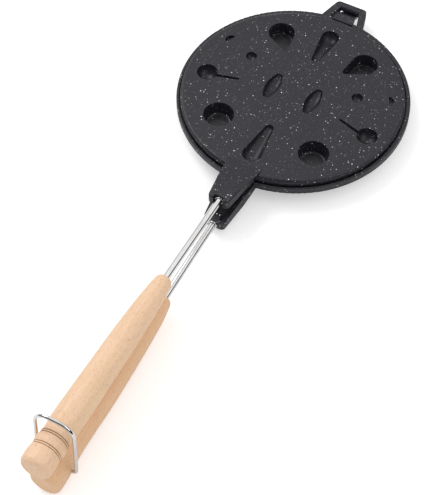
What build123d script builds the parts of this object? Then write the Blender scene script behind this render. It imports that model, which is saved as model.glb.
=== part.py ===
from build123d import *
import os
from math import acos, atan2, cos, degrees, radians, sin, sqrt, tan

# Round iron for filled nut biscuits: two cast plates, hooked together at the far rim,
# each on a steel rod with a turned wooden handle, and a wire bail that locks the handles.
# Mould frame: origin in the middle of the closed plates, X towards the handles, Z up.

# Plates: the upper disc lies in a shallow recess of the lower one
LOWER_RADIUS = 100.3
RECESS_RADIUS = 97.6
UPPER_RADIUS = 96.2
RECESS_CENTRE_X = 1.5       # the recess and the upper disc sit off centre, towards the handles
PLATEAU_TOP = 5.0
UPPER_BOTTOM = -0.9
RECESS_FLOOR = -1.5
LIP_TOP = 2.4
UPPER_EDGE_ROUNDING = 2.3
LOWER_EDGE_ROUNDING = 1.3
LIP_ROUNDING = 0.8

# Forms pressed into the plates
WALL = 2.6
DOUGH = 3.8                 # room between a form and its mould
POCKET_DEPTH = 12.0
NUT_AT = (52.2, 44.6)
NUT_RADIUS = 13.1
NUT_DRAFT = 10.0
NUT_ROUNDING = 2.2
DROP_AT = (-57.5, 40.2)
DROP_RADIUS = 11.6
DROP_TIP_AT = (-42.0, 29.0)
DROP_TIP_RADIUS = 2.4
DROP_DRAFT = 5.0
DROP_ROUNDING = 1.0
CONE_TIP_RADIUS = 3.8
NEAR_CONE_X = (76.7, 45.6)
NEAR_CONE_RADIUS = 8.4
FAR_CONE_X = (-72.4, -43.5)
FAR_CONE_RADIUS = 7.9
BEAN_AT = (1.8, 19.0)
BEAN_HALF_LENGTH = 14.6
BEAN_RADIUS = 6.2
BEAN_END_RADIUS = 2.2
CHERRY_AT = (14.5, 76.0)
CHERRY_RADIUS = 8.9
STEM_END = (9.0, 48.6)
STEM_RADII = (1.4, 1.0)     # at the cherry, and at the far end
PIP_AT = (-20.0, 50.8)
PIP_RADIUS = 4.9
CRESCENT_ENDS = ((-34.0, 74.0), (-24.6, 78.5))
CRESCENT_WIDTH = 4.3
UPPER_SHALLOW_DEPTH = 2.9   # of the stems and crescents
LOWER_SHALLOW_DEPTH = 1.6
SHALLOW_DRAFT = 8.0

# Hinge at the far rim: a trapezoid loop on the lower plate, a hook on the upper one
HINGE_X = -116.4
LOOP_BAR_RADIUS = 3.2
HINGE_Z = LIP_TOP - LOOP_BAR_RADIUS
LOOP_ROOT = (-98.5, 19.8)   # outer edge of the loop, as x and half width
LOOP_END_HALF = 14.0
LOOP_CORNER = 4.0
WINDOW_ROOT = (-100.3, 12.9)
WINDOW_END_HALF = 8.9
LOOP_START_X = -94.0
HOOK_GAP = 0.35
HOOK_THICKNESS = 2.8
HOOK_START = 35.0           # degrees below level where the curl begins and ends
HOOK_END = 165.0
HOOK_PLAN = ((-93.0, 9.4), (-99.8, 9.4), (-105.8, 8.4), (-110.5, 7.0), (-130.0, 7.0))
TONGUE_END = ((-105.8, 2.4), (-104.5, -0.9))   # top and bottom corner, as x and z
TONGUE_DIP = ((-96.6, 0.8), (-97.2, 2.4))      # groove between the disc's edge and the tongue
BROW_ROUNDING = 1.0
NOTCH_HALF = 10.0           # cut in the lip for the tongue
NOTCH_X = (-101.5, -95.0)

# Rods, and how far they lean away from the parting plane
ROD_RADIUS = 3.0
ROD_LEAN = 1.36
ROD_HEIGHT = 8.0            # above the parting plane, at ROD_HEIGHT_X
ROD_HEIGHT_X = 155.0
ROD_IN_TANG = 9.0
ROD_IN_HANDLE = 100.0
COLLAR_RADIUS = 3.9
COLLAR_THICKNESS = 1.2
COLLAR_ROUNDING = 0.4
COLLAR_GAP = 0.15
FIT = 0.02

# Tangs that carry the rods
TANG_WALL = 2.5
TANG_ROOT_X = 88.0
TANG_IN_PLATE = 4.0         # overlap with the plate, behind the root
TANG_UNDER_RECESS = 0.5
TANG_RIM_HALF = 14.0
TANG_END_HALF = 9.2
TANG_CORNER = 4.0
TANG_OVER_ROD = 5.0         # from the rod's axis to the outside
LOWER_TANG_OVER_ROD = 5.6
LOWER_TANG_INSIDE_ROD = 3.7  # from the rod's axis to the mouth of the tray
TANG_EDGE_ROUNDING = 1.6
RIM_X = 100.0
UPPER_TANG_END = 137.5
UPPER_WALL_EDGE = ((95.0, 0.0), (97.0, 3.0), (104.0, 3.1), (UPPER_TANG_END, 4.2))
UPPER_ROOM_START = 104.0
UPPER_END_WALL = 7.5
UPPER_SEAT_X = 133.6        # where the rod comes out, in a slot of the end wall
SEAT_SLOT_HALF = 4.4
LOWER_TANG_END = 145.0
LOWER_WALL_TOP = 0.3
LOWER_ROOM_START = 112.0
LOWER_END_WALL = 3.5
RAMP_END_X = 122.0
RAMP_DROP = 0.6
BOSS_RADIUS = 4.6
BOSS_LENGTH = 6.0
BOSS_IN_WALL = 1.0          # from the boss's end to the seat of the rod

# Handles, measured from their front end
HANDLE_FRONT_X = 223.3
GRIP = ((18.5, 8.8), (38.0, 10.0), (58.0, 10.8), (77.0, 11.3), (97.0, 11.65))
UPPER_NOSE = ((0.0, 5.2), (1.2, 6.35), (5.0, 7.4))
UPPER_GRIP = ((120.0, 12.05), (143.0, 12.3))
NECK = ((150.5, 12.3), (156.5, 11.6), (160.6, 11.9))
BEAD = ((163.2, 12.0), (167.1, 12.8), (171.0, 12.0))
GROOVE_DEPTH = 0.7
GROOVE_WIDTH = 0.8
KNOB = ((173.6, 12.2), (179.0, 12.7), (184.8, 12.4))
KNOB_SHOULDER = ((188.4, 11.2), (189.8, 8.6))
LOWER_NOSE = ((2.7, 5.2), (3.9, 6.35), (7.7, 7.45))
LOWER_GRIP = ((110.0, 11.55), (125.0, 11.3), (138.0, 11.15), (150.0, 11.4), (158.0, 12.1),
              (166.0, 12.8), (174.5, 13.1), (178.0, 12.95))
LOWER_SWELL = LOWER_GRIP[-2]
LOWER_SHOULDER = ((181.3, 11.9), (182.6, 9.8))

# Wire bail, hung in a cross hole of the lower handle
BAIL_AT = 163.0
WIRE_RADIUS = 1.5
BAIL_REACH = 57.5
BAIL_HALF_WIDTH = 16.4
BAIL_LEAN = 5.3             # towards the plates
BAIL_FOOT_END = 2.0
BAIL_CORNER = 11.5
BAIL_FOOT_CORNER = 3.4
BAIL_RUNNING_GAP = 0.06

# Rest pose: the upper half stands slightly open, the whole iron lies on a table
AJAR = 0.85
FAR_CONTACT_X = -66.0

BEYOND = 30.0               # reach of a cutting slab past the tangs and the hinge


def taper_outline(start, start_radius, end, end_radius):
    """Face of two circles joined by their outer tangents."""
    dx, dy = end[0] - start[0], end[1] - start[1]
    heading = atan2(dy, dx)
    spread = acos((start_radius - end_radius) / sqrt(dx * dx + dy * dy))

    def on(centre, radius, angle):
        return (centre[0] + radius * cos(angle), centre[1] + radius * sin(angle))

    left, right = heading + spread, heading - spread
    back, front = heading + radians(180), heading
    start_arc = ThreePointArc(
        on(start, start_radius, left), on(start, start_radius, back), on(start, start_radius, right))
    end_arc = ThreePointArc(
        on(end, end_radius, right), on(end, end_radius, front), on(end, end_radius, left))
    return make_face([
        start_arc, Line(start_arc @ 1, end_arc @ 0), end_arc, Line(end_arc @ 1, start_arc @ 0)])


def pressed(outline, grow, draft, rounding):
    """Pocket with drafted walls and a rounded flat floor, under the plateau."""
    body = Pos(0, 0, PLATEAU_TOP) * extrude(outline, -(POCKET_DEPTH + grow), taper=draft)
    floor = body.edges().group_by(Axis.Z)[0]
    return fillet(floor, rounding + 0.4 * grow)


def turned(outline):
    """Half-round trough: an outline about the X axis, spun about that axis."""
    half = outline & Rectangle(400, 400, align=(Align.CENTER, Align.MIN))
    return Pos(0, 0, PLATEAU_TOP) * revolve(half, Axis.X)


def nut(side, grow):
    outline = Pos(NUT_AT[0], side * NUT_AT[1]) * Circle(NUT_RADIUS + grow)
    return pressed(outline, grow, NUT_DRAFT, NUT_ROUNDING)


def drop(side, grow):
    outline = taper_outline(
        (DROP_AT[0], side * DROP_AT[1]), DROP_RADIUS + grow,
        (DROP_TIP_AT[0], side * DROP_TIP_AT[1]), DROP_TIP_RADIUS + grow)
    return pressed(outline, grow, DROP_DRAFT, DROP_ROUNDING)


def cone(ends, radius, grow):
    return turned(taper_outline((ends[0], 0), radius + grow, (ends[1], 0), CONE_TIP_RADIUS + grow))


def bean(side, grow):
    """Long bean with blunt ends."""
    swell = BEAN_RADIUS - BEAN_END_RADIUS
    arc_radius = (BEAN_HALF_LENGTH**2 + swell**2) / (2 * swell)
    end_x = BEAN_HALF_LENGTH + grow
    end_radius = sqrt((arc_radius + grow)**2 - end_x**2) - arc_radius + BEAN_RADIUS
    arc = ThreePointArc((-end_x, end_radius), (0, BEAN_RADIUS + grow), (end_x, end_radius))
    flats = Polyline((end_x, end_radius), (end_x, 0), (-end_x, 0), (-end_x, end_radius))
    return Pos(BEAN_AT[0], side * BEAN_AT[1], PLATEAU_TOP) * revolve(
        make_face([arc, flats]), Axis.X)


def ball(at, radius, side, grow):
    return Pos(at[0], side * at[1], PLATEAU_TOP) * Sphere(radius + grow)


def forms(grow):
    """All the deep forms, grown by the wall or by the wall and the dough."""
    solids = [cone(NEAR_CONE_X, NEAR_CONE_RADIUS, grow), cone(FAR_CONE_X, FAR_CONE_RADIUS, grow)]
    for side in (-1, 1):
        solids += [
            nut(side, grow),
            drop(side, grow),
            bean(side, grow),
            ball(CHERRY_AT, CHERRY_RADIUS, side, grow),
            ball(PIP_AT, PIP_RADIUS, side, grow),
        ]
    return solids


def stem(side):
    """Outline that runs from a cherry and narrows to its round end."""
    start = (CHERRY_AT[0], side * (CHERRY_AT[1] - CHERRY_RADIUS + 1))
    return taper_outline(start, STEM_RADII[0], (STEM_END[0], side * STEM_END[1]), STEM_RADII[1])


def crescent(side):
    """Outline with a straight side, its bulge towards the rim."""
    (x0, y0), (x1, y1) = CRESCENT_ENDS
    length = sqrt((x1 - x0)**2 + (y1 - y0)**2)
    bulge = (0.5 * (x0 + x1) - CRESCENT_WIDTH * (y1 - y0) / length,
             side * (0.5 * (y0 + y1) + CRESCENT_WIDTH * (x1 - x0) / length))
    arc = ThreePointArc((x0, side * y0), bulge, (x1, side * y1))
    return make_face([arc, Line(arc @ 1, arc @ 0)])


def shallow_forms(level, depth):
    """The shallow forms: a stem on each cherry and a crescent beside each pip."""
    return [Pos(0, 0, level) * extrude(outline(side), -depth, dir=(0, 0, 1), taper=SHALLOW_DRAFT)
            for outline in (stem, crescent) for side in (-1, 1)]


def cylinder_between(radius, centre_x, bottom, top):
    return Pos(centre_x, 0, bottom) * Cylinder(
        radius, top - bottom, align=(Align.CENTER, Align.CENTER, Align.MIN))


def upper_disc():
    disc = cylinder_between(UPPER_RADIUS, RECESS_CENTRE_X, UPPER_BOTTOM, PLATEAU_TOP)
    return fillet(disc.edges().group_by(Axis.Z)[-1], UPPER_EDGE_ROUNDING)


def lower_disc():
    """Disc up to the top of the lip, before its recess."""
    disc = cylinder_between(LOWER_RADIUS, 0, -PLATEAU_TOP, LIP_TOP)
    disc = fillet(disc.edges().group_by(Axis.Z)[0], LOWER_EDGE_ROUNDING)
    return fillet(disc.edges().group_by(Axis.Z)[-1], LIP_ROUNDING)


def recess():
    """Room of the upper disc, with a notch for the tongue of the hinge."""
    room = cylinder_between(RECESS_RADIUS, RECESS_CENTRE_X, RECESS_FLOOR, LIP_TOP + 1)
    notch = Pos(0.5 * sum(NOTCH_X), 0, RECESS_FLOOR) * Box(
        NOTCH_X[1] - NOTCH_X[0], 2 * NOTCH_HALF, LIP_TOP - RECESS_FLOOR + 1,
        align=(Align.CENTER, Align.CENTER, Align.MIN))
    return room + notch


def rod_height(x):
    return ROD_HEIGHT + (x - ROD_HEIGHT_X) * tan(radians(ROD_LEAN))


def tang_half_width(x, end_x):
    share = (x - RIM_X) / (end_x - RIM_X)
    return TANG_RIM_HALF + share * (TANG_END_HALF - TANG_RIM_HALF)


def tang_plan(end_x, inset, start_x, corner):
    """Plan of a tang: a taper from the rim to the square end with its rounded corners."""
    start_half = tang_half_width(start_x, end_x) - inset
    end_half = TANG_END_HALF - inset
    end_face_x = end_x - inset
    plan = make_face(Polyline(
        (start_x, start_half), (end_face_x, end_half), (end_face_x, -end_half),
        (start_x, -start_half), close=True))
    return fillet(plan.vertices().group_by(Axis.X)[-1], corner)


def tang_block(end_x, inset, start_x, corner, side_points):
    """Plan of a tang crossed with its side view, given as (x, z) points."""
    side = extrude(Plane.XZ * make_face(Polyline(*side_points, close=True)), BEYOND, both=True)
    return extrude(tang_plan(end_x, inset, start_x, corner), BEYOND, both=True) & side


def rod_axis(start_x, length, radius):
    """Cylinder about the upper rod's axis, from start_x towards the handle."""
    return Pos(start_x, 0, rod_height(start_x)) * Rot(0, 90 - ROD_LEAN, 0) * Cylinder(
        radius, length, align=(Align.CENTER, Align.CENTER, Align.MIN))


def end_rounded(tang):
    """Tang with the outer edge of its end face rounded."""
    end_face = tang.faces().sort_by(Axis.X)[-1]
    return fillet(end_face.edges().sort_by(Axis.Z)[-1], TANG_EDGE_ROUNDING)


def rod_boss(seat_x):
    """Thickening round the rod, behind the wall that the rod comes out of."""
    return rod_axis(seat_x - BOSS_IN_WALL - BOSS_LENGTH, BOSS_LENGTH, BOSS_RADIUS)


def upper_tang():
    """Channel, open below, that rises from the plateau over the lip to carry the rod."""
    end_x, start_x = UPPER_TANG_END, TANG_ROOT_X - TANG_IN_PLATE
    top = rod_height(end_x) + TANG_OVER_ROD
    tang = tang_block(end_x, 0, start_x, TANG_CORNER, [
        (start_x, 0), *UPPER_WALL_EDGE, (end_x, top),
        (RAMP_END_X, top - RAMP_DROP), (TANG_ROOT_X, PLATEAU_TOP), (start_x, PLATEAU_TOP)])
    room_end = end_x - UPPER_END_WALL + TANG_WALL
    room = tang_block(room_end, TANG_WALL, UPPER_ROOM_START, TANG_CORNER - TANG_WALL, [
        (UPPER_ROOM_START, -1), (end_x, -1), (end_x, top - TANG_WALL),
        (RAMP_END_X, top - TANG_WALL - RAMP_DROP),
        (UPPER_ROOM_START, PLATEAU_TOP - TANG_WALL + 1)])
    slot = Pos(UPPER_SEAT_X, 0, 0) * Box(
        end_x, 2 * SEAT_SLOT_HALF, 2 * end_x, align=(Align.MIN, Align.CENTER, Align.CENTER))
    return end_rounded(tang) - room + rod_boss(UPPER_SEAT_X) - slot


def lower_tang():
    """Tray, open above; drawn upside down over the parting plane."""
    end_x, start_x = LOWER_TANG_END, TANG_ROOT_X - TANG_IN_PLATE
    mouth = rod_height(end_x) - LOWER_TANG_INSIDE_ROD
    floor = rod_height(end_x) + LOWER_TANG_OVER_ROD
    under_recess = TANG_UNDER_RECESS - RECESS_FLOOR
    tang = tang_block(end_x, 0, start_x, TANG_CORNER, [
        (start_x, under_recess), (RIM_X, under_recess), (RIM_X, LOWER_WALL_TOP),
        (LOWER_ROOM_START, LOWER_WALL_TOP), (end_x, mouth), (end_x, floor),
        (RAMP_END_X, floor - RAMP_DROP), (TANG_ROOT_X, PLATEAU_TOP), (start_x, PLATEAU_TOP)])
    room_end = end_x - LOWER_END_WALL + TANG_WALL
    room = tang_block(room_end, TANG_WALL, LOWER_ROOM_START, TANG_CORNER - TANG_WALL, [
        (LOWER_ROOM_START, -1), (end_x, -1), (end_x, floor - TANG_WALL),
        (RAMP_END_X, floor - TANG_WALL - RAMP_DROP), (LOWER_ROOM_START, PLATEAU_TOP + 1)])
    return end_rounded(tang) - room + (rod_boss(end_x) & tang)


def rod_bore(seat_x):
    return rod_axis(seat_x - ROD_IN_TANG - 1, ROD_IN_TANG + 5, ROD_RADIUS + FIT)


def section(points):
    """Slab across the hinge from (x, z) points."""
    return extrude(Plane.XZ * make_face(Polyline(*points, close=True)), BEYOND, both=True)


def hinge_point(radius, below_level):
    """Point about the hinge, as x and z, on the side of the plates at 0 degrees."""
    turn = radians(-below_level)
    return (HINGE_X + radius * cos(turn), HINGE_Z + radius * sin(turn))


def hinge_hook():
    """Tongue of the upper plate that goes down through the loop and curls under its bar."""
    inner = LOOP_BAR_RADIUS + HOOK_GAP
    outer = inner + HOOK_THICKNESS
    ring = Plane.XZ * Pos(HINGE_X, HINGE_Z) * (Circle(outer) - Circle(inner))
    turns = [HOOK_START + share * (HOOK_END - HOOK_START) / 3 for share in range(4)]
    wedge = section([(HINGE_X, HINGE_Z)] + [hinge_point(2 * outer, turn) for turn in turns])
    curl = extrude(ring, BEYOND, both=True) & wedge
    tongue_top, tongue_bottom = TONGUE_END
    leg = section([tongue_top, hinge_point(inner, HOOK_START), hinge_point(inner, HOOK_START + 10),
                   hinge_point(outer, HOOK_START + 10), hinge_point(outer, HOOK_START),
                   tongue_bottom])
    start_x = HOOK_PLAN[0][0]
    tongue = section([(start_x, tongue_bottom[1]), (start_x, TONGUE_DIP[0][1]), *TONGUE_DIP,
                      tongue_top, tongue_bottom])
    plan = make_face(Polyline(
        *HOOK_PLAN, *[(x, -half) for x, half in reversed(HOOK_PLAN)], close=True))
    hook = (curl + leg + tongue) & extrude(plan, BEYOND, both=True)
    brow = hook.edges().filter_by(Axis.Y).group_by(Axis.Z)[-1].sort_by(Axis.X)[0]
    return fillet(brow, BROW_ROUNDING)


def widened(near, far, start_x):
    """Half width of a straight edge through two (x, half width) points, at start_x."""
    slope = (far[1] - near[1]) / (far[0] - near[0])
    return near[1] + (start_x - near[0]) * slope


def hinge_loop():
    """Trapezoid loop of the lower plate with the bar that the hook turns on."""
    near, far = HINGE_X + LOOP_BAR_RADIUS, HINGE_X - LOOP_BAR_RADIUS
    root_half = widened(LOOP_ROOT, (far, LOOP_END_HALF), LOOP_START_X)
    outline = make_face(Polyline(
        (LOOP_START_X, root_half), (far, LOOP_END_HALF), (far, -LOOP_END_HALF),
        (LOOP_START_X, -root_half), close=True))
    outline = fillet(outline.vertices().group_by(Axis.X)[0], LOOP_CORNER)
    window_half = widened(WINDOW_ROOT, (near, WINDOW_END_HALF), LOOP_START_X)
    window = make_face(Polyline(
        (LOOP_START_X, window_half), (near, WINDOW_END_HALF), (far - 1, WINDOW_END_HALF),
        (far - 1, -WINDOW_END_HALF), (near, -WINDOW_END_HALF), (LOOP_START_X, -window_half),
        close=True))
    arms = Pos(0, 0, HINGE_Z) * extrude(outline - window, LOOP_BAR_RADIUS, both=True)
    bar = Pos(HINGE_X, 0, HINGE_Z) * Rot(90, 0, 0) * Cylinder(
        LOOP_BAR_RADIUS, 2 * WINDOW_END_HALF + 1)
    far_corner = Pos(far, 0, HINGE_Z) * Box(
        LOOP_BAR_RADIUS, 2 * WINDOW_END_HALF + 1, LOOP_BAR_RADIUS,
        align=(Align.MIN, Align.CENTER, Align.MIN))
    return arms + bar + far_corner


def upside_down(shape):
    return mirror(shape, about=Plane.XY)


def below(level):
    """Everything under a level."""
    return Pos(0, 0, level - 50) * Box(400, 400, 100)


def upper_plate():
    """The half with the forms that press into the dough."""
    backs = [form & below(PLATEAU_TOP - 1) for form in forms(WALL)]
    plate = upper_disc() + upper_tang() + hinge_hook() + backs
    return plate - forms(0) - shallow_forms(PLATEAU_TOP, UPPER_SHALLOW_DEPTH) - rod_bore(UPPER_SEAT_X)


def lower_plate():
    """The half with the moulds that hold the dough."""
    plate = lower_disc() + hinge_loop() - recess()
    plate += upside_down(lower_tang() - rod_bore(LOWER_TANG_END))
    plate += [form & below(RECESS_FLOOR - 1) for form in forms(WALL + DOUGH + WALL)]
    return plate - forms(WALL + DOUGH) - shallow_forms(RECESS_FLOOR, LOWER_SHALLOW_DEPTH)


def rod(seat_x):
    length = HANDLE_FRONT_X + ROD_IN_HANDLE - seat_x + ROD_IN_TANG
    return rod_axis(seat_x - ROD_IN_TANG, length, ROD_RADIUS)


def collar(seat_x):
    """Shoulder ring on the rod, against the wall that the rod comes out of."""
    ring = rod_axis(seat_x + COLLAR_GAP, COLLAR_THICKNESS, COLLAR_RADIUS)
    ring = fillet(ring.edges().group_by(Axis.X)[-1], COLLAR_ROUNDING)
    return ring - rod_axis(seat_x - 1, 5, ROD_RADIUS + FIT)


def spun(grip_points, rear):
    """Handle turned about its own axis from its grip and its rear end."""
    front, end = grip_points[0], rear[-1] @ 1
    flats = Polyline((end.X, end.Y), (end.X, 0), (front[0], 0), front)
    handle = revolve(make_face([flats, Spline(*grip_points), *rear]), Axis.X)
    bore = Rot(0, 90, 0) * Cylinder(
        ROD_RADIUS + FIT, ROD_IN_HANDLE + 1, align=(Align.CENTER, Align.CENTER, Align.MIN))
    return Pos(HANDLE_FRONT_X, 0, rod_height(HANDLE_FRONT_X)) * Rot(0, -ROD_LEAN, 0) * (
        handle - bore)


def double_groove(start, end):
    """Two V grooves with a land between them, between two points of a turned profile."""
    top = min(start[1], end[1])
    floor, half = top - GROOVE_DEPTH, 0.5 * GROOVE_WIDTH
    return Polyline(start, (start[0] + half, floor), (start[0] + GROOVE_WIDTH, top),
                    (end[0] - GROOVE_WIDTH, top), (end[0] - half, floor), end)


def upper_handle():
    """Handle with a neck for the bail, a bead and a knob."""
    return spun([*UPPER_NOSE, *GRIP, *UPPER_GRIP], [
        Line(UPPER_GRIP[-1], NECK[0]), Spline(*NECK),
        double_groove(NECK[-1], BEAD[0]), ThreePointArc(*BEAD),
        double_groove(BEAD[-1], KNOB[0]), ThreePointArc(*KNOB),
        ThreePointArc(KNOB[-1], *KNOB_SHOULDER)])


def lower_handle():
    """Handle with a swollen rear end and the cross hole of the bail."""
    handle = spun([*LOWER_NOSE, *GRIP, *LOWER_GRIP], [
        ThreePointArc(LOWER_GRIP[-1], *LOWER_SHOULDER)])
    x, z = bail_pivot()
    hole = Pos(x, 0, -z) * Rot(90, 0, 0) * Cylinder(WIRE_RADIUS + BAIL_RUNNING_GAP, 60)
    return upside_down(handle - hole)


def bail_pivot():
    lean = radians(ROD_LEAN)
    return (HANDLE_FRONT_X + BAIL_AT * cos(lean),
            -rod_height(HANDLE_FRONT_X) - BAIL_AT * sin(lean))


def bail():
    """Wire stirrup, its feet in the cross hole and its bar over the neck of the upper handle."""
    x, z = bail_pivot()
    lean = radians(BAIL_LEAN)
    face = Plane(origin=(x, 0, z), x_dir=(0, 1, 0), z_dir=(cos(lean), 0, sin(lean)))
    side, foot, reach = BAIL_HALF_WIDTH, BAIL_FOOT_END, BAIL_REACH
    path = face * FilletPolyline(
        (foot, 0), (side, 0), (side, reach), (-side, reach), (-side, 0), (-foot, 0),
        radius=[BAIL_FOOT_CORNER, BAIL_CORNER, BAIL_CORNER, BAIL_FOOT_CORNER])
    start = Plane(origin=path @ 0, z_dir=path % 0)
    return sweep(start * Circle(WIRE_RADIUS), path)


def opened(shape):
    """Upper half turned about the hinge to its rest pose."""
    return Pos(HINGE_X, 0, HINGE_Z) * Rot(0, -AJAR, 0) * Pos(-HINGE_X, 0, -HINGE_Z) * shape


def rest_pitch():
    """Tilt of the mould when its far moulds and its lower handle lie on a table."""
    swell, swell_radius = LOWER_SWELL
    rear_x = HANDLE_FRONT_X + swell
    rear_low = -rod_height(rear_x) - swell_radius
    mould_low = PLATEAU_TOP - POCKET_DEPTH - 2 * WALL - DOUGH
    return degrees(atan2(mould_low - rear_low, rear_x - FAR_CONTACT_X))


def build():
    halves = {
        "lower_plate": lower_plate(),
        "lower_rod": upside_down(rod(LOWER_TANG_END)),
        "lower_rod_collar": upside_down(collar(LOWER_TANG_END)),
        "lower_handle": lower_handle(),
        "upper_plate": opened(upper_plate()),
        "upper_rod": opened(rod(UPPER_SEAT_X)),
        "upper_rod_collar": opened(collar(UPPER_SEAT_X)),
        "upper_handle": opened(upper_handle()),
        "handle_bail": bail(),
    }
    pitch = rest_pitch()
    tilted = {name: Rot(0, -pitch, 0) * shape for name, shape in halves.items()}
    boxes = [shape.bounding_box() for shape in tilted.values()]
    ends = (min(box.min.X for box in boxes), max(box.max.X for box in boxes))
    shift = Pos(-0.5 * sum(ends), 0, -min(box.min.Z for box in boxes))
    print("tilt", pitch, "shift", shift.position, "length", ends[1] - ends[0])
    for label, point in (("hinge", (HINGE_X, 0, HINGE_Z)),
                         ("bail pivot", (bail_pivot()[0], 0, bail_pivot()[1]))):
        print(label, (shift * Rot(0, -pitch, 0) * Pos(*point)).position)
    return {name: shift * shape for name, shape in tilted.items()}


os.makedirs("parts", exist_ok=True)
for node, shape in build().items():
    export_step(shape, f"parts/{node}.step")
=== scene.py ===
import math

import bpy
import mathutils
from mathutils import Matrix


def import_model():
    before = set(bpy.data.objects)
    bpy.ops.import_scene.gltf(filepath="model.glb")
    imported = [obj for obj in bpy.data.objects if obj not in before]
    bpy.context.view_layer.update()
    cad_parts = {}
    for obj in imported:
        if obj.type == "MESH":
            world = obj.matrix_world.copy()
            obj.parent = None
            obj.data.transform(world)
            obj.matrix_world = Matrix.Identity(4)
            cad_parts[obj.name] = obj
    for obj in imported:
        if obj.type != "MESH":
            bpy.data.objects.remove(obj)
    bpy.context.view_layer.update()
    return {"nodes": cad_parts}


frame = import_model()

# Lengths are in metres, and colours are linear red, green, blue and alpha
WHITE = (1, 1, 1, 1)

# The pieces of each finish; the two wooden handles are dressed one by one
COATED = ("upper_plate", "lower_plate")
CHROMED = ("upper_rod", "lower_rod", "upper_rod_collar", "lower_rod_collar", "handle_bail")

# Camera, in the part's own frame
CAMERA_AT = (0.59070, 0.33816, 1.00351)
CAMERA_TURN_DEG = (33.563, 0.866, 118.226)
LENS_MM = 107.347
SENSOR_MM = 36.0

# Square soft lights that aim at the origin of the part: name, place, side, watts
LIGHTS = (
    ("key", (-0.3, -1.1, 1.3), 0.9, 11.0),
    ("fill", (0.1, 1.1, 1.3), 1.2, 4.0),
)
WORLD_LIGHT = 0.72           # how brightly the surroundings light the part; white is 1

# What shiny pieces reflect is white overhead, dull low on the left and nearly black low on the
# right, and all of it is dim behind the camera. Each change runs over a span of the direction.
LOW_LEFT, LOW_RIGHT, BEHIND_CAMERA = 0.62, 0.03, 0.15
LOW_TO_OVERHEAD = (0.34, 0.56)
LEFT_TO_RIGHT = (0.10, 0.40)
AHEAD_TO_BEHIND = (-0.20, 0.35)

FLOOR_SIDE = 6.0
FLOOR_COLOUR = (0.93, 0.93, 0.93, 1)
FLOOR_ROUGHNESS = 0.9
FLOOR_LIFT = 0.34            # added to the floor where the camera sees it, so it reads as white

# Coating: the two tones of its charcoal, its paler grain, its gloss and its specks.
# Each kind of speck has a cell size, the share of cells that hold one, a radius and a colour.
CHARCOAL = ((0.0075, 0.0069, 0.0122, 1), (0.0106, 0.0098, 0.0160, 1))
CHARCOAL_GRAIN = (0.019, 0.0182, 0.0245, 1)
COATING_SPECULAR = 0.43
COATING_ROUGHNESS = (0.36, 0.46)
SPECKS = (
    (0.0012, 0.44, 0.00034, (0.14, 0.14, 0.15, 1)),
    (0.0018, 0.30, 0.00038, (0.45, 0.45, 0.46, 1)),
    (0.0028, 0.36, 0.00050, WHITE),
)
SPECK_LEAST, SPECK_MOST = 0.5, 1.1    # reach of the smallest and largest speck, in radii
SPECK_EDGE = 0.25            # width of a speck's soft edge, in radii
SPECK_FAINTEST = 0.5         # strength of the faintest speck of a kind
SPECK_RAGGED = 0.0007        # how far the outlines of the specks are pushed about

# Chrome: the two tones of its plating and its gloss
PLATING = ((0.74, 0.73, 0.73, 1), (0.82, 0.81, 0.81, 1))
PLATING_ROUGHNESS = (0.07, 0.14)

# Beech: the two tones of its rings and how far they show, its marks, the warm dark colour
# painted on the lower handle as the shade the upper handle casts on it, and its gloss
RING_TONES = ((0.87, 0.595, 0.405, 1), (0.83, 0.550, 0.345, 1))
RING_CONTRAST = 0.50
STREAK_COLOUR = (0.76, 0.48, 0.28, 1)
CLOUD_COLOUR = (0.80, 0.575, 0.33, 1)
FLECK_COLOUR = (0.50, 0.31, 0.17, 1)
DASH_COLOUR = (0.52, 0.33, 0.19, 1)
# warm dark colour painted on the lower handle as shade from the upper handle
LOWER_HANDLE_SHADE_COLOUR = (0.78, 0.40, 0.19, 1)
BEECH_ROUGHNESS = (0.42, 0.56)

# Growth rings: their spacing, how far they wander from side to side, how much height counts
# towards a ring's radius, and how far aside and below their centre lies. A handle's seed moves
# it by these shares of the seed, across and up, to another part of the log.
RING_SPACING = 0.0052
RING_WANDER = 0.030
RING_HEIGHT_SHARE = 0.55
RING_CENTRE_ASIDE, RING_CENTRE_BELOW = 0.052, 0.021
SEED_ACROSS, SEED_UP = 0.41, 0.23

# Upper handle at rest: its front end and its lean, then the middles of its turned grooves along
# it, and how far from a middle the dark line of shade painted in them starts to fade and ends
HANDLE_FRONT = (0.07758, 0.0, 0.03756)
HANDLE_LEAN_DEG = 3.552
GROOVES_AT = (0.1610, 0.1628, 0.1714, 0.1732)
GROOVE_FADE = (0.00015, 0.00045)
# colour of the shade painted into the turned grooves
GROOVE_SHADE_COLOUR = (0.36, 0.19, 0.10, 1)


# ---------------------------------------------------------------- node helpers

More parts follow.
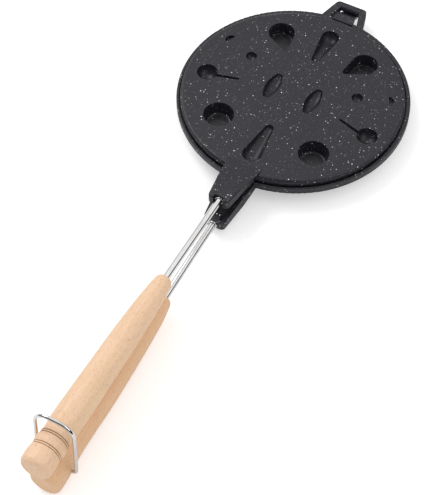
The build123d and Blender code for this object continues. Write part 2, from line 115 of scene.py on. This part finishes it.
class Nodes:
    """A node tree, with short calls for the nodes that the finishes use."""

    def __init__(self, tree):
        self.tree = tree

    def new(self, kind, **settings):
        node = self.tree.nodes.new(kind)
        for key, value in settings.items():
            setattr(node, key, value)
        return node

    def feed(self, socket, value):
        """Link a socket to an output, or set it to a constant."""
        if isinstance(value, bpy.types.NodeSocket):
            self.tree.links.new(value, socket)
        else:
            socket.default_value = value

    def place(self, scale=(1, 1, 1), shift=(0, 0, 0)):
        """Coordinates that stay on the object as it moves, scaled and then shifted."""
        mapping = self.new("ShaderNodeMapping")
        self.feed(mapping.inputs["Vector"], self.new("ShaderNodeTexCoord").outputs["Object"])
        self.feed(mapping.inputs["Scale"], scale)
        self.feed(mapping.inputs["Location"], shift)
        return mapping.outputs["Vector"]

    def noise(self, vector, scale=1.0, detail=2.0, output="Fac"):
        """Noise with that many waves to each unit of the vector."""
        node = self.new("ShaderNodeTexNoise")
        self.feed(node.inputs["Vector"], vector)
        self.feed(node.inputs["Scale"], scale)
        self.feed(node.inputs["Detail"], detail)
        return node.outputs[output]

    def grain(self, along, across, detail, shift=(0, 0, 0)):
        """Noise drawn out along X, with so many waves to the metre along it and across it."""
        place = self.place(scale=(along, across, across), shift=shift)
        return self.noise(place, detail=detail)

    def cells(self, vector, size):
        """Distance to the nearest cell centre, in cells, and that cell's random colour."""
        node = self.new("ShaderNodeTexVoronoi", feature="F1")
        self.feed(node.inputs["Vector"], vector)
        self.feed(node.inputs["Scale"], 1 / size)
        return node.outputs["Distance"], node.outputs["Color"]

    def split(self, vector):
        node = self.new("ShaderNodeSeparateXYZ")
        self.feed(node.inputs["Vector"], vector)
        return node.outputs["X"], node.outputs["Y"], node.outputs["Z"]

    def math(self, operation, *values):
        node = self.new("ShaderNodeMath", operation=operation)
        for socket, value in zip(node.inputs, values):
            self.feed(socket, value)
        return node.outputs["Value"]

    def ramp(self, value, span, to=(0.0, 1.0)):
        """Smooth step over a span, from the first value of to up or down to the second."""
        node = self.new("ShaderNodeMapRange", interpolation_type="SMOOTHSTEP")
        self.feed(node.inputs["Value"], value)
        for name, level in zip(("From Min", "From Max", "To Min", "To Max"), (*span, *to)):
            self.feed(node.inputs[name], level)
        return node.outputs["Result"]

    def mix(self, factor, first, second):
        node = self.new("ShaderNodeMix", data_type="RGBA", blend_type="MIX")
        self.feed(node.inputs["Factor"], factor)
        self.feed(node.inputs[6], first)
        self.feed(node.inputs[7], second)
        return node.outputs[2]

    def bump(self, height, distance, strength, below=None):
        """Bump that follows height and rises by distance at most, over the one below if any."""
        node = self.new("ShaderNodeBump")
        self.feed(node.inputs["Height"], height)
        self.feed(node.inputs["Distance"], distance)
        self.feed(node.inputs["Strength"], strength)
        if below is not None:
            self.feed(node.inputs["Normal"], below)
        return node.outputs["Normal"]


def new_material(name):
    """A material, its nodes, and the sockets of its main shader."""
    material = bpy.data.materials.new(name)
    material.use_nodes = True
    nodes = Nodes(material.node_tree)
    return material, nodes, nodes.tree.nodes["Principled BSDF"].inputs


# ---------------------------------------------------------------- finishes

def specks(nodes, vector, cell, share, radius):
    """Mask of small round specks of several sizes and strengths, at most one to a cell."""
    distance, colour = nodes.cells(vector, cell)
    chance, size, level = nodes.split(colour)
    chosen = nodes.math("LESS_THAN", chance, share)
    unit = radius / cell
    reach = nodes.math("MULTIPLY_ADD", size, (SPECK_MOST - SPECK_LEAST) * unit, SPECK_LEAST * unit)
    inside = nodes.math("SUBTRACT", reach, distance)
    soft = nodes.ramp(inside, span=(0.0, SPECK_EDGE * unit))
    strength = nodes.math("MULTIPLY_ADD", level, 1.0 - SPECK_FAINTEST, SPECK_FAINTEST)
    return nodes.math("MULTIPLY", nodes.math("MULTIPLY", soft, chosen), strength)


def coating():
    """Matt charcoal non-stick coating with white and grey granite specks."""
    material, nodes, shader = new_material("granite_coating")
    place = nodes.place()
    ragged = nodes.new("ShaderNodeVectorMath", operation="MULTIPLY_ADD")
    nodes.feed(ragged.inputs[0], nodes.noise(place, scale=900, output="Color"))
    nodes.feed(ragged.inputs[1], [SPECK_RAGGED] * 3)
    nodes.feed(ragged.inputs[2], place)

    base = nodes.mix(nodes.noise(place, scale=28, detail=3), *CHARCOAL)
    grain = nodes.noise(place, scale=1400, detail=1)
    base = nodes.mix(nodes.ramp(grain, span=(0.35, 0.75)), base, CHARCOAL_GRAIN)
    for cell, share, radius, colour in SPECKS:
        mask = specks(nodes, ragged.outputs["Vector"], cell, share, radius)
        base = nodes.mix(mask, base, colour)
    nodes.feed(shader["Base Color"], base)

    shader["Specular IOR Level"].default_value = COATING_SPECULAR
    worn = nodes.noise(place, scale=60, detail=3)
    nodes.feed(shader["Roughness"], nodes.ramp(worn, span=(0.3, 0.7), to=COATING_ROUGHNESS))
    peel = nodes.bump(nodes.noise(place, scale=520), distance=0.00006, strength=0.6)
    nodes.feed(shader["Normal"], nodes.bump(grain, distance=0.00002, strength=0.5, below=peel))
    return material


def chrome():
    """Bright chrome plating with faint drawing marks along the wire."""
    material, nodes, shader = new_material("chrome_plate")
    shader["Metallic"].default_value = 1.0
    marks = nodes.grain(along=40, across=2200, detail=2)
    cloud = nodes.noise(nodes.place(), scale=90)
    nodes.feed(shader["Base Color"], nodes.mix(nodes.ramp(cloud, span=(0.3, 0.7)), *PLATING))
    nodes.feed(shader["Roughness"], nodes.ramp(marks, span=(0.3, 0.8), to=PLATING_ROUGHNESS))
    nodes.feed(shader["Normal"], nodes.bump(marks, distance=0.000004, strength=0.4))
    return material


def growth_rings(nodes, seed):
    """Mask of the late wood, in rings that wander a little along the grain."""
    bend = nodes.grain(along=6, across=30, detail=2, shift=(seed, 0, 0))
    wander = nodes.math("MULTIPLY_ADD", bend, RING_WANDER, -RING_WANDER / 2)
    _, y, z = nodes.split(nodes.place(shift=(0, SEED_ACROSS * seed, SEED_UP * seed)))
    across = nodes.math("ADD", nodes.math("ADD", y, wander), RING_CENTRE_ASIDE)
    up = nodes.math("MULTIPLY_ADD", z, RING_HEIGHT_SHARE, RING_CENTRE_BELOW)
    squares = nodes.math("POWER", across, 2.0), nodes.math("POWER", up, 2.0)
    radius = nodes.math("SQRT", nodes.math("ADD", *squares))
    wave = nodes.math("SINE", nodes.math("MULTIPLY", radius, 2 * math.pi / RING_SPACING))
    return nodes.ramp(wave, span=(-1.0, 1.0))


def groove_shade_lines(nodes):
    """Mask of the shade painted in the turned grooves, from the distance along the handle's axis.
    """
    x, _, z = nodes.split(nodes.place(shift=[-part for part in HANDLE_FRONT]))
    lean = math.radians(HANDLE_LEAN_DEG)
    rise = nodes.math("MULTIPLY", z, math.sin(lean))
    along = nodes.math("MULTIPLY_ADD", x, math.cos(lean), rise)
    mask = 0.0
    for middle in GROOVES_AT:
        away = nodes.math("ABSOLUTE", nodes.math("SUBTRACT", along, middle))
        mask = nodes.math("MAXIMUM", mask, nodes.ramp(away, span=GROOVE_FADE, to=(1.0, 0.0)))
    return mask


def beech(name, seed, painted_shade, paint_groove_shade):
    """Pale sanded beech: wide soft rings, fine pores and short dark flecks along the grain."""
    material, nodes, shader = new_material(name)
    shift = (seed, 0, 0)
    streaks = nodes.grain(along=9, across=420, detail=4, shift=shift)
    clouds = nodes.grain(along=9, across=22, detail=3, shift=shift)
    flecks = nodes.grain(along=230, across=1500, detail=1, shift=shift)
    dashes = nodes.grain(along=420, across=2700, detail=1, shift=(0, seed, 0))
    pores = nodes.ramp(flecks, span=(0.62, 0.72), to=(0.0, 0.60))

    rings = nodes.math("MULTIPLY", growth_rings(nodes, seed), RING_CONTRAST)
    tone = nodes.mix(rings, *RING_TONES)
    layers = [
        (nodes.ramp(streaks, span=(0.42, 0.72), to=(0.0, 0.35)), STREAK_COLOUR),
        (nodes.ramp(clouds, span=(0.35, 0.70), to=(0.0, 0.45)), CLOUD_COLOUR),
        (pores, FLECK_COLOUR),
        (nodes.ramp(dashes, span=(0.60, 0.70), to=(0.0, 0.45)), DASH_COLOUR),
        # painted shade: the lower handle is tinted warmer and darker for the shade the upper
        # handle casts on it
        (painted_shade, LOWER_HANDLE_SHADE_COLOUR),
    ]
    if paint_groove_shade:
        # painted shade: dark lines along the turned grooves
        layers.append((groove_shade_lines(nodes), GROOVE_SHADE_COLOUR))
    for mask, colour in layers:
        tone = nodes.mix(mask, tone, colour)
    nodes.feed(shader["Base Color"], tone)

    nodes.feed(shader["Roughness"], nodes.ramp(streaks, span=(0.3, 0.8), to=BEECH_ROUGHNESS))
    pitted = nodes.bump(pores, distance=-0.00005, strength=0.5)
    nodes.feed(shader["Normal"], nodes.bump(streaks, distance=0.00004, strength=0.4, below=pitted))
    return material


def dress(names, material):
    for name in names:
        mesh = frame["nodes"][name].data
        mesh.materials.clear()
        mesh.materials.append(material)


# ---------------------------------------------------------------- stage, light and camera

def floor():
    """Pale floor that the camera sees as white, with the object's shadow kept."""
    bpy.ops.mesh.primitive_plane_add(size=FLOOR_SIDE, location=(0, 0, 0))
    plane = bpy.context.object
    plane.name = "floor"
    material, nodes, shader = new_material("pale_floor")
    shader["Base Color"].default_value = FLOOR_COLOUR
    shader["Roughness"].default_value = FLOOR_ROUGHNESS
    shader["Emission Color"].default_value = WHITE
    seen = nodes.new("ShaderNodeLightPath").outputs["Is Camera Ray"]
    nodes.feed(shader["Emission Strength"], nodes.math("MULTIPLY", seen, FLOOR_LIFT))
    plane.data.materials.append(material)


def world():
    """Even pale surroundings that the camera sees as white, and their own look in reflections."""
    studio = bpy.data.worlds.new("studio")
    studio.use_nodes = True
    bpy.context.scene.world = studio
    nodes = Nodes(studio.node_tree)
    path = nodes.new("ShaderNodeLightPath").outputs
    direction = nodes.new("ShaderNodeTexCoord").outputs["Generated"]
    back, right, up = nodes.split(direction)

    overhead = nodes.ramp(up, span=LOW_TO_OVERHEAD)
    low = nodes.ramp(right, span=LEFT_TO_RIGHT, to=(LOW_LEFT, LOW_RIGHT))
    dim = nodes.ramp(back, span=AHEAD_TO_BEHIND, to=(1.0, BEHIND_CAMERA))
    mirrored = nodes.math("MULTIPLY", nodes.math("MAXIMUM", overhead, low), dim)

    glossy = path["Is Glossy Ray"]
    plain = nodes.math("MULTIPLY_ADD", path["Is Camera Ray"], 1.0 - WORLD_LIGHT, WORLD_LIGHT)
    others = nodes.math("MULTIPLY", plain, nodes.math("SUBTRACT", 1.0, glossy))
    background = nodes.tree.nodes["Background"].inputs
    background["Color"].default_value = WHITE
    nodes.feed(background["Strength"], nodes.math("MULTIPLY_ADD", mirrored, glossy, others))


def lights():
    for name, at, side, watts in LIGHTS:
        data = bpy.data.lights.new(name, "AREA")
        data.size = side
        data.energy = watts
        lamp = bpy.data.objects.new(name, data)
        bpy.context.scene.collection.objects.link(lamp)
        lamp.location = at
        lamp.rotation_euler = (-mathutils.Vector(at)).to_track_quat("-Z", "Y").to_euler()


def camera():
    data = bpy.data.cameras.new("camera")
    data.sensor_fit = "AUTO"
    data.sensor_width = SENSOR_MM
    data.lens = LENS_MM
    eye = bpy.data.objects.new("camera", data)
    bpy.context.scene.collection.objects.link(eye)
    eye.location = CAMERA_AT
    eye.rotation_euler = [math.radians(angle) for angle in CAMERA_TURN_DEG]
    bpy.context.scene.camera = eye


dress(COATED, coating())
dress(CHROMED, chrome())
dress(("upper_handle",), beech("beech_upper", seed=0.37, painted_shade=0.0, paint_groove_shade=True))
dress(("lower_handle",), beech("beech_lower", seed=1.13, painted_shade=0.28, paint_groove_shade=False))
floor()
world()
lights()
camera()
bpy.context.scene.view_settings.view_transform = "Standard"
